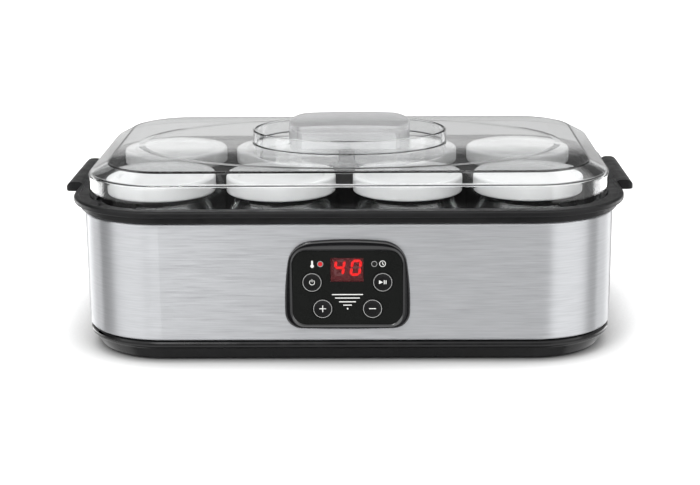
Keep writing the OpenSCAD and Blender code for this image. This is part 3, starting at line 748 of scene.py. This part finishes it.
def thermometer_outline(x, z):
    """A stem with a round top and a bulb at its foot."""
    stem, bulb = 0.55, 1.05
    foot = z - 1.3
    turn = math.degrees(math.acos(stem / bulb))
    points = arc((x, foot), bulb, 180 - turn, 360 + turn, 24)
    points += arc((x, z + 1.6), stem, 0, 180, 8)
    return points


def clock_hands_outline(x, z):
    """Two joined hands, one straight up and one down to the right."""
    hands = [(-0.2, 1.0), (-0.2, -0.2), (0.7, -0.8), (1.0, -0.4), (0.25, 0.1), (0.25, 1.0)]
    return [(x + a, z + b) for a, b in hands]


def print_piece(name, mesh, material, body):
    """Turns a bmesh of printed marks into a piece."""
    bmesh.ops.recalc_face_normals(mesh, faces=mesh.faces)
    return finish_piece(name, mesh, material, body, crease=30)


def panel_spot(node):
    """Where the middle of a button or lamp lies on the panel."""
    middle = centre_mm(node)
    return middle.x, middle.z - PANEL_Z


def make_panel_marks():
    """Marks on the fascia: narrowing bars over a dot, a thermometer, a clock and two lamp rings."""
    level = SLEEVE_FRONT - FASCIA_LOW.y
    pale = bmesh.new()
    arrow = ((18.9, -6.4), (15.1, -8.6), (10.25, -11), (5.2, -13.1))
    stroke = 0.6
    for width, z in arrow:
        add_plate(pale, bar_outline(0, z, width, stroke), level)
    dot, thermometer, clock = (0, -15.4), (-21.3, 12.9), (21.4, 13.0)
    add_plate(pale, disc_outline(*dot, 0.5), level)
    add_plate(pale, thermometer_outline(*thermometer), level)
    add_band(pale, clock, 2.0, 1.6, level)
    add_plate(pale, clock_hands_outline(*clock), level)
    print_piece("fascia_marks", pale, "print_pale", "housing")
    grey = bmesh.new()
    for node in ("heat_lamp", "timer_lamp"):
        add_band(grey, panel_spot(node), 1.8, 1.5, level)
    print_piece("lamp_rings", grey, "print_grey", "housing")


def make_button(node, draw):
    """A dished button on its flange and stem, with a printed ring and sign."""
    low, high = box_mm(node)
    x, z = panel_spot(node)
    lip, dish, soft = 1, 0.25, 0.45
    r = (high.x - low.x) / 2 - lip
    face = SLEEVE_FRONT - low.y
    flange_front, flange_back, stem_end, stem_r = face - 3.2, face - 4.2, face - 7.2, 2
    profile = [(0, face - dish), (2, face - 0.235), (3.6, face - 0.18), (4.8, face - 0.09), (5.5, face)]
    profile += arc((r - soft, face - soft), soft, 90, 0, 5)
    profile += [(r, flange_front), (r + lip, flange_front), (r + lip, flange_back),
                (stem_r, flange_back), (stem_r, stem_end), (0, stem_end)]
    rings = []
    steps = 72
    for radius, out in profile:
        turns = [2 * math.pi * i / steps for i in range(steps if radius else 1)]
        rings.append([on_panel(x + radius * math.cos(t), z + radius * math.sin(t), out) for t in turns])
    cap = build(f"{node}_cap", rings, "button_black", node, crease=40)
    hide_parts(node)
    ring = bmesh.new()
    ring_r, ring_stroke = r - 0.5, 0.3
    add_band(ring, (x, z), ring_r, ring_r - ring_stroke, face)
    print_piece(f"{node}_ring", ring, "print_grey", node)
    sign = bmesh.new()
    draw(sign, x, z, face - dish)
    print_piece(f"{node}_sign", sign, "print_pale", node)


SIGN_ARM, SIGN_STROKE = 4.2, 0.5


def draw_power(mesh, x, z, level):
    """An open ring with a bar in its gap."""
    add_band(mesh, (x, z - 0.1), 1.7, 1.35, level, start=125, end=415)
    add_plate(mesh, bar_outline(x, z + 1.0, 0.35, 1.8), level)


def draw_start(mesh, x, z, level):
    """A start triangle and two pause bars."""
    add_plate(mesh, [(x - 2.3, z - 1.25), (x + 0.1, z), (x - 2.3, z + 1.25)], level)
    for side in (0.9, 2.0):
        add_plate(mesh, bar_outline(x + side, z, 0.55, 2.4), level)


def draw_plus(mesh, x, z, level):
    """A plus sign."""
    add_plate(mesh, plus_outline(x, z, SIGN_ARM, SIGN_STROKE), level)


def draw_minus(mesh, x, z, level):
    """A minus sign."""
    add_plate(mesh, bar_outline(x, z, SIGN_ARM, SIGN_STROKE), level)


make_panel_marks()
make_button("button_mode", draw_power)
make_button("button_start", draw_start)
make_button("button_plus", draw_plus)
make_button("button_minus", draw_minus)


DIGIT_W, DIGIT_H = 5.1, 8.6
DIGIT_LEAN = 0.14
DIGIT_SHIFT = 5
BAR_GAP = 0.15
BAR_TIP = 0.8
# Middle of each bar within its digit, and whether the bar stands upright.
BAR_SPOTS = {
    "top": (0, DIGIT_H / 2, False),
    "middle": (0, 0, False),
    "foot": (0, -DIGIT_H / 2, False),
    "low_left": (-DIGIT_W / 2, -DIGIT_H / 4, True),
}


def display_bar(upright):
    """One bar of a display digit, pointed at both ends."""
    length = DIGIT_H / 2 if upright else DIGIT_W
    half = length / 2 - BAR_GAP
    straight = half - BAR_TIP
    outline = [(-half, 0), (-straight, -BAR_TIP), (straight, -BAR_TIP), (half, 0), (straight, BAR_TIP),
               (-straight, BAR_TIP)]
    return [(-b, a) for a, b in outline] if upright else outline


def make_unlit_bars():
    """The display bars that aren't lit in a 4 and a 0, as faint shapes behind the window."""
    low, high = box_mm("display_digits")
    middle_x, middle_z = (low.x + high.x) / 2, (low.z + high.z) / 2 - PANEL_Z
    level = SLEEVE_FRONT - high.y
    mesh = bmesh.new()
    unlit = ((-DIGIT_SHIFT, ("top", "low_left", "foot")), (DIGIT_SHIFT, ("middle",)))
    for digit_x, names in unlit:
        for name in names:
            bar_x, bar_z, upright = BAR_SPOTS[name]
            outline = [(bar_x + a, bar_z + b) for a, b in display_bar(upright)]
            outline = [(middle_x + digit_x + x + DIGIT_LEAN * z, middle_z + z) for x, z in outline]
            add_plate(mesh, outline, level)
    print_piece("display_unlit_bars", mesh, "unlit_bar", "housing")


make_unlit_bars()


# ---------- stage and light ----------

# How far out from the object the painted shadow on the floor reaches, in metres.
PAINTED_SHADOW_REACH = 0.042
FLOOR_GLOW = 0.14
FLOOR_HALF = 9


def make_floor():
    """A wide pale floor that stays near white under the lights, with a painted shadow that darkens its
    colour and its faint glow close to the object.
    """
    material, tree, shader = new_material("floor_pale")
    # The ambient occlusion node paints a shadow: it darkens the floor's colour and its glow close to the
    # object.
    near = tree.nodes.new("ShaderNodeAmbientOcclusion")
    near.inputs["Distance"].default_value = PAINTED_SHADOW_REACH
    near.samples = 8
    pale = tint(tree, noise(tree, 3), (0.98, 0.98, 0.98), (0.99, 0.99, 0.99))
    tree.links.new(pale, near.inputs["Color"])
    tree.links.new(near.outputs["Color"], shader.inputs["Base Color"])
    tree.links.new(near.outputs["Color"], shader.inputs["Emission Color"])
    shader.inputs["Emission Strength"].default_value = FLOOR_GLOW
    shader.inputs["Roughness"].default_value = 0.9
    shader.inputs["Specular IOR Level"].default_value = 0.1
    mesh = bmesh.new()
    bmesh.ops.create_grid(mesh, x_segments=4, y_segments=4, size=FLOOR_HALF)
    data = bpy.data.meshes.new("floor")
    mesh.to_mesh(data)
    mesh.free()
    data.materials.append(material)
    floor = bpy.data.objects.new("floor", data)
    # Shiny and clear pieces see the studio below the level instead of the floor.
    floor.visible_glossy = False
    floor.visible_transmission = False
    bpy.context.scene.collection.objects.link(floor)


def smooth_gate(tree, value, start, end):
    """0 at start and 1 at end, with a smooth step between."""
    node = tree.nodes.new("ShaderNodeMapRange")
    node.interpolation_type = "SMOOTHSTEP"
    node.inputs["From Min"].default_value = start
    node.inputs["From Max"].default_value = end
    tree.links.new(value, node.inputs["Value"])
    return node.outputs["Result"]


def window_of(tree, value, low, high, soft):
    """1 between low and high and 0 outside. Each edge is spread by soft to both sides."""
    rise = smooth_gate(tree, value, low - soft, low + soft)
    fall = smooth_gate(tree, value, high + soft, high - soft)
    return math_node(tree, "MULTIPLY", rise, fall)


# Each studio panel: name, azimuth from the front (right is positive) and height above the level in degrees,
# the softness of its sides and of its top and bottom, and its brightness. A flag has a negative brightness.
# A range that goes past 180 has no edge behind the object.
STUDIO = [
    ("overhead", (-190, 190), (36, 95), (1, 6), 1.45),
    ("front_high", (-115, 115), (2, 36), (8, 4), 2.5),
    ("front_low", (-115, 115), (-55, -26), (8, 4), 1.6),
    ("front_foot", (-115, 115), (-95, -55), (8, 4), 0.4),
    ("left_side", (-115, -30), (-26, 2), (6, 4), 0.70),
    ("right_side", (30, 115), (-26, 2), (3, 4), 0.80),
    ("left_card", (-76, -7), (-80, 34), (3, 8), 0.40),
    ("right_card", (27, 82), (-80, 34), (1, 8), 0.45),
    ("left_flag", (-120, -80), (2, 36), (2, 4), -2.5),
    ("right_flag", (84, 114), (2, 36), (2, 4), -2.0),
    ("left_lid_card", (-150, -104), (-18, -9), (2, 1.5), 3.2),
    ("right_lid_card", (104, 150), (-18, -9), (2, 1.5), 3.0),
    ("rear_left", (-245, -115), (-60, 11.1), (8, 0.2), 0.65),
    ("rear_right", (115, 245), (-60, 11.1), (8, 0.2), 0.60),
    ("rear_strip", (-245, 245), (11.1, 11.45), (1, 0.2), 0.90),
    ("rear_high", (-245, 245), (11.8, 36), (1, 1), 0.10),
    ("shoulder_flag_left", (-245, -125), (56, 78), (8, 4), -1.2),
    ("shoulder_flag_right", (125, 245), (56, 78), (8, 4), -1.2),
]
STUDIO_FILL = 0.05


def make_world():
    """A studio of soft panels round the object, seen in its reflections."""
    world = bpy.data.worlds.new("studio")
    world.use_nodes = True
    bpy.context.scene.world = world
    tree = world.node_tree
    place = tree.nodes.new("ShaderNodeTexCoord")
    parts = tree.nodes.new("ShaderNodeSeparateXYZ")
    tree.links.new(place.outputs["Generated"], parts.inputs["Vector"])
    forward = math_node(tree, "MULTIPLY", parts.outputs["Y"], -1)
    turn = math_node(tree, "DEGREES", math_node(tree, "ARCTAN2", parts.outputs["X"], forward))
    height = math_node(tree, "DEGREES", math_node(tree, "ARCSINE", parts.outputs["Z"]))
    total = STUDIO_FILL
    for name, azimuth, level, soft, brightness in STUDIO:
        across = window_of(tree, turn, *azimuth, soft[0])
        upright = window_of(tree, height, *level, soft[1])
        share = math_node(tree, "MULTIPLY", across, upright)
        total = math_node(tree, "MULTIPLY_ADD", share, brightness, total)
        total.node.label = name
    background = tree.nodes["Background"]
    background.inputs["Color"].default_value = (1, 1, 1, 1)
    tree.links.new(total, background.inputs["Strength"])


def area_light(name, place, target, width, height, power):
    """A soft rectangular light at place, aimed at target."""
    data = bpy.data.lights.new(name, "AREA")
    data.shape = "RECTANGLE"
    data.size = width
    data.size_y = height
    data.energy = power
    light = bpy.data.objects.new(name, data)
    aim = (Vector(target) - Vector(place)).to_track_quat("-Z", "Y")
    light.matrix_world = Matrix.Translation(place) @ aim.to_matrix().to_4x4()
    bpy.context.scene.collection.objects.link(light)


def make_lights():
    """Two soft lights that add to the studio: one from the front left, one from behind."""
    area_light("key_softbox", place=(-0.416, -0.935, 1.1), target=(0, 0, 0.08),
               width=0.35, height=0.25, power=5)
    area_light("rear_softbox", place=(0.25, 0.7, 1.4), target=(0, 0, 0.05),
               width=1.0, height=0.5, power=2)


make_floor()
make_world()
make_lights()
bpy.context.scene.view_settings.view_transform = "Standard"
